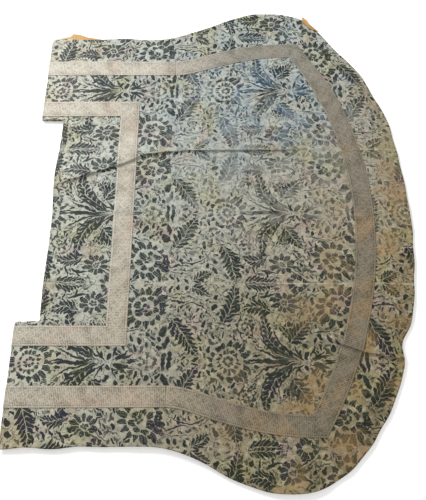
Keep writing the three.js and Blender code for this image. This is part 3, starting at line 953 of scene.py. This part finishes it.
def outer_edge(half):
    """The free edge from the fold round the hem, near side first."""
    shorter, narrower, _ = HALVES[half]
    side, widest = SIDE_Y - narrower, WIDEST_Y - narrower
    xs, ys = flare_edge(side, widest)
    turn = np.linspace(0, math.pi / 2, 90)[1:]
    xs = np.concatenate([[EDGE_X], xs, WIDEST_X + (HEM_DEPTH - shorter) * np.sin(turn)])
    ys = np.concatenate([[side], ys, widest * np.cos(turn)])
    quarter = np.stack([xs, -ys], axis=1)
    return Path(np.concatenate([quarter, (quarter * (1, -1))[-2::-1]]))


def neck_edge(half):
    """The edge of the neck, far side first."""
    turn = np.linspace(0, math.pi / 2, 8)
    xs = HALVES[half][2] - NECK_CORNER + NECK_CORNER * np.sin(turn)
    ys = NECK_Y - NECK_CORNER + NECK_CORNER * np.cos(turn)
    upper = np.concatenate([[(EDGE_X, NECK_Y)], np.stack([xs, ys], axis=1)])
    return Path(np.concatenate([upper, upper[::-1] * (1, -1)]))


def rolled_edge(half):
    """The section of an edge where the silk is turned in over the interlining; inside is positive."""
    shape = [(13, 8.6), (13, 7.2), (3.4, 7.1), (2.4, 6.3), (0.2, 6.0), (-1.5, 6.5), (-2.4, 7.6),
             (-2.3, 8.8), (-1.5, 9.8), (-0.2, 10.2), (-0.1, 8.9)]
    return [(a, up_in(half, z)) for a, z in shape]


def build_edges(half):
    for part, path in (("turned_hem", outer_edge(half)), ("turned_neck_edge", neck_edge(half))):
        name = f"{half}_{part}"
        obj = strip(name, half, path, rolled_edge(half), DAMASK)
        settle(obj, half, name)


def build_sheets(half):
    silk_step, under = {"back": (BACK_SILK_STEP, "front_lining_middle_width"),
                        "front": (FRONT_SILK_STEP, "front_galloon_hem_2")}[half]
    widths = ("middle_width", "far_width", "near_width")
    pieces = [(f"silk_{part}", DAMASK, silk_step) for part in (*widths, "far_gore", "near_gore")]
    pieces += [(f"lining_{part}", LINING, LINING_STEP) for part in widths]
    pieces.append(("interlining", LINEN, HIDDEN_STEP))
    for part, material, step in pieces:
        name = f"{half}_{part}"
        obj, size, area = cloth_from_node(name, half, step, material)
        settle(obj, half, name)


def unit(v):
    return np.array(v, float) / np.linalg.norm(v)


def mitre_slope(along, other):
    """How far a cut advances per millimetre across, where a ribbon turns from one direction to another."""
    seam = unit(along) - unit(other)
    side = unit((-along[1], along[0]))
    return float(seam @ unit(along)) / float(seam @ side)


def galloon_section(half):
    """The braid's section: flat, with its upper edges rounded off."""
    low, high = up_in(half, GALLOON_LOW), up_in(half, GALLOON_HIGH)
    shoulder = low + (high - low) * 0.8
    w = GALLOON_W / 2
    top = [(a, high) for a in np.linspace(w - 2.5, 2.5 - w, 12)]
    under = [(a, low) for a in np.linspace(-w, w, 12)]
    return [(w - 0.5, shoulder), *top, (0.5 - w, shoulder), *under]


def build_galloons(half):
    """The braids down the sides, along the flares and round the hem, and those round the neck."""
    shorter = HALVES[half][0]
    section = galloon_section(half)
    corner = np.array([HEM_X - shorter - CORNER_RISE, GALLOON_SIDE_Y + CORNER_SPREAD])
    side = Path([(EDGE_X, GALLOON_SIDE_Y), (JOIN_X - TRIM, GALLOON_SIDE_Y)])
    flare = Path(bezier((JOIN_X + TRIM, GALLOON_SIDE_Y), (JOIN_X + BEND_EASE, GALLOON_SIDE_Y),
                        (corner[0] - CORNER_EASE, corner[1]), corner))
    # The hem's braid is an arc through both corners and the middle of the hem.
    hem_x = HEM_GALLOON_X - GALLOON_W / 2 - shorter
    rise = hem_x - corner[0]
    radius = (corner[1] ** 2 + rise**2) / (2 * rise)
    half_angle = math.asin(corner[1] / radius)
    angles = np.linspace(-half_angle, half_angle, 3 * HEM_POINTS + 1)
    arc = np.stack([hem_x - radius + radius * np.cos(angles), radius * np.sin(angles)], axis=1)
    # Where the flare meets the hem, both ends are cut along the same line.
    slope = mitre_slope((1.0, 0.0), (math.sin(half_angle), -math.cos(half_angle)))

    def ribbon(part, path, start=SQUARE, end=SQUARE):
        name = f"{half}_galloon_{part}"
        obj = strip(name, half, path, section, GALLOON, start, end)
        settle(obj, half, name)

    def pair(part, path, end=SQUARE):
        ribbon(f"far_{part}", path, end=end)
        ribbon(f"near_{part}", path.mirrored(), end=(end[0], -end[1]))

    pair("side", side)
    pair("flare", flare, end=(-TRIM, slope))
    for i, (first, last) in enumerate(((slope, 0.0), (0.0, 0.0), (0.0, -slope))):
        part = Path(arc[i * HEM_POINTS:(i + 1) * HEM_POINTS + 1])
        ribbon(f"hem_{i + 1}", part, start=(-TRIM, first), end=(-TRIM, last))
    pair("neck", Path([(EDGE_X, GALLOON_NECK_Y), (CROSS_X, GALLOON_NECK_Y)]), end=(-TRIM, 1.0))
    cross = Path([(CROSS_X, -GALLOON_NECK_Y), (CROSS_X, GALLOON_NECK_Y)])
    ribbon("neck_cross", cross, start=(-TRIM, 1.0), end=(-TRIM, -1.0))


def build_fold(name, material):
    """A half ring of cloth round the shoulder fold, between the front's level and the back's."""
    inner, outer = FOLD_RADII[material]
    (_, y0, _), (_, y1, _) = box_mm(name)
    turns = 18
    columns = max(2, round((y1 - y0) / FOLD_STEP)) + 1
    points, uv, faces = [], [], []
    for y in np.linspace(y0, y1, columns):
        for radius in (outer, inner):
            for a in np.linspace(-math.pi / 2, math.pi / 2, turns + 1):
                points.append((FOLD_X - radius * math.cos(a), y, FOLD_Z + radius * math.sin(a)))
                on_cloth, on_braid = (FOLD_X + radius * a, y), (radius * a, y - (y0 + y1) / 2)
                uv.append(on_cloth if material is DAMASK else on_braid)
    ring = 2 * (turns + 1)
    for a in range(0, (columns - 1) * ring, ring):
        b = a + ring
        for j in range(turns):
            k = turns + 1 + j
            faces += [(a + j, a + j + 1, b + j + 1, b + j), (a + k + 1, a + k, b + k, b + k + 1)]
        for j, k in ((0, turns + 1), (turns, 2 * turns + 1)):
            faces.append((a + j, a + k, b + k, b + j))
    for a in (0, (columns - 1) * ring):
        faces += [(a + j, a + j + 1, a + turns + 2 + j, a + turns + 1 + j) for j in range(turns)]
    obj = make_object(name, np.array(points) * MM, faces, np.array(uv) * MM, material)
    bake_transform(obj)
    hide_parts(name)


def build_stitches(half):
    """The slanting stitches that hold the lining's edge to the turned hem."""
    path = outer_edge(half)
    points, faces = [], []
    for i, s in enumerate(np.arange(STITCH_START, path.length - STITCH_START, STITCH_PITCH)):
        for across, ahead in STITCH_ENDS:
            x, y, nx, ny = (float(v) for v in path.at(s + ahead))
            for side, level in STITCH_SECTION:
                plan = x + nx * across + ny * side, y + ny * across - nx * side
                points.append((*plan, up_in(half, level)))
        a = 8 * i
        faces += [(a, a + 1, a + 2, a + 3), (a + 7, a + 6, a + 5, a + 4)]
        faces += [(a + j, a + 4 + j, a + 4 + (j + 1) % 4, a + (j + 1) % 4) for j in range(4)]
    points = np.array(points)
    placed = place(half, *points.T, creased=False)
    obj = make_object(f"{half}_lining_stitches", placed, faces, points[:, :2] * MM, LINEN)
    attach(obj, half)


def build_tuft():
    """A crumpled tongue of the far lining that has worked out past the edge."""
    columns, rows = 22, 14
    a, b = (v.ravel() for v in np.meshgrid(np.linspace(0, 1, columns), np.linspace(0, 1, rows)))
    x = TUFT_X + TUFT_LENGTH * a + 4 * np.sin(9 * b + 3 * a) - 6 * b
    root = WIDEST_Y * np.sqrt(1 - ((x - WIDEST_X) / HEM_DEPTH) ** 2) - TUFT_TUCKED
    y = root + 38 * b * (0.65 + 0.35 * np.sin(5 * a + 0.6)) + 3 * np.sin(11 * a)
    crumple = 1.6 * np.sin(13 * a + 5 * b) + 1.1 * np.sin(8 * b - 17 * a)
    z = TOTAL + 1.0 + lift(x, root, False) + 4.5 * np.sin(math.pi * b) + crumple * (0.3 + b) * 0.8 - 3 * b
    top = np.stack([x, y, z], axis=1) * MM
    under = top - (0, 0, 0.7 * MM)
    count = len(top)
    grid = np.arange(count).reshape(rows, columns)
    faces = []
    for p in grid[:-1, :-1].ravel().tolist():
        quad = (p, p + 1, p + columns + 1, p + columns)
        faces += [quad, tuple(count + q for q in reversed(quad))]
    rim = np.concatenate([grid[0], grid[1:, -1], grid[-1, -2::-1], grid[-2:0:-1, 0]]).tolist()
    faces += [(q, p, count + p, count + q) for p, q in zip(rim, rim[1:] + rim[:1])]
    width, length = TUFT_FLAT
    uv = np.tile(np.stack([a * length, b * width], axis=1), (2, 1))
    obj = make_object("back_lining_tuft", np.concatenate([top, under]), faces, uv, LINING)
    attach(obj, "back")


for half_name in ("front", "back"):
    build_sheets(half_name)
    build_edges(half_name)
    build_galloons(half_name)
    build_stitches(half_name)

for side_name in ("far", "near"):
    build_fold(f"shoulder_fold_{side_name}", DAMASK)
    build_fold(f"galloon_turn_{side_name}_neck", GALLOON)
    build_fold(f"galloon_turn_{side_name}_side", GALLOON)
build_tuft()

# ---- Floor, light and camera -------------------------------------------------------------------------

FLOOR_SIZE, FLOOR_DROP = 60, 0.0005
CAMERA_AT, CAMERA_TARGET = (-0.020, -1.249, 2.104), (-0.020, -0.136, 0.010)
CAMERA_LENS, CAMERA_SENSOR = 53.6, 36
ROOM_LIGHT = 0.5

bpy.ops.mesh.primitive_plane_add(size=FLOOR_SIZE, location=(0, 0, -FLOOR_DROP))
floor = bpy.context.object
floor.name = "floor"
floor_material = new_material("floor", 0.9, 0.1)[0]
floor_shader = floor_material.node_tree.nodes["Principled BSDF"]
floor_shader.inputs["Base Color"].default_value = (0.9, 0.9, 0.9, 1)
floor_shader.inputs["Emission Color"].default_value = (1, 1, 1, 1)
floor_shader.inputs["Emission Strength"].default_value = 0.25
floor.data.materials.append(floor_material)


def aim(obj, target):
    """Point a lamp or a camera at a place and put it in the scene."""
    obj.rotation_euler = (Vector(target) - obj.location).to_track_quat("-Z", "Y").to_euler()
    bpy.context.scene.collection.objects.link(obj)


def area_light(name, location, target, size, power, colour=(1, 1, 1)):
    data = bpy.data.lights.new(name, "AREA")
    data.shape, data.size, data.size_y = "RECTANGLE", *size
    data.energy, data.color = power, colour
    lamp = bpy.data.objects.new(name, data)
    lamp.location = location
    aim(lamp, target)


area_light("window", (-2.4, 2.9, 2.4), (0, 0.1, 0), (2.0, 1.5), 245)
area_light("fill", (0.6, -2.0, 3.0), (0, 0, 0), (3.0, 2.0), 22, (1.0, 0.98, 0.95))
world = bpy.data.worlds.new("room")
world.use_nodes = True
world.node_tree.nodes["Background"].inputs[0].default_value = (1, 1, 1, 1)
world.node_tree.nodes["Background"].inputs[1].default_value = ROOM_LIGHT
bpy.context.scene.world = world
bpy.context.scene.view_settings.view_transform = "Standard"

camera_data = bpy.data.cameras.new("camera")
camera_data.lens, camera_data.sensor_width = CAMERA_LENS, CAMERA_SENSOR
camera = bpy.data.objects.new("camera", camera_data)
camera.location = CAMERA_AT
aim(camera, CAMERA_TARGET)
bpy.context.scene.camera = camera
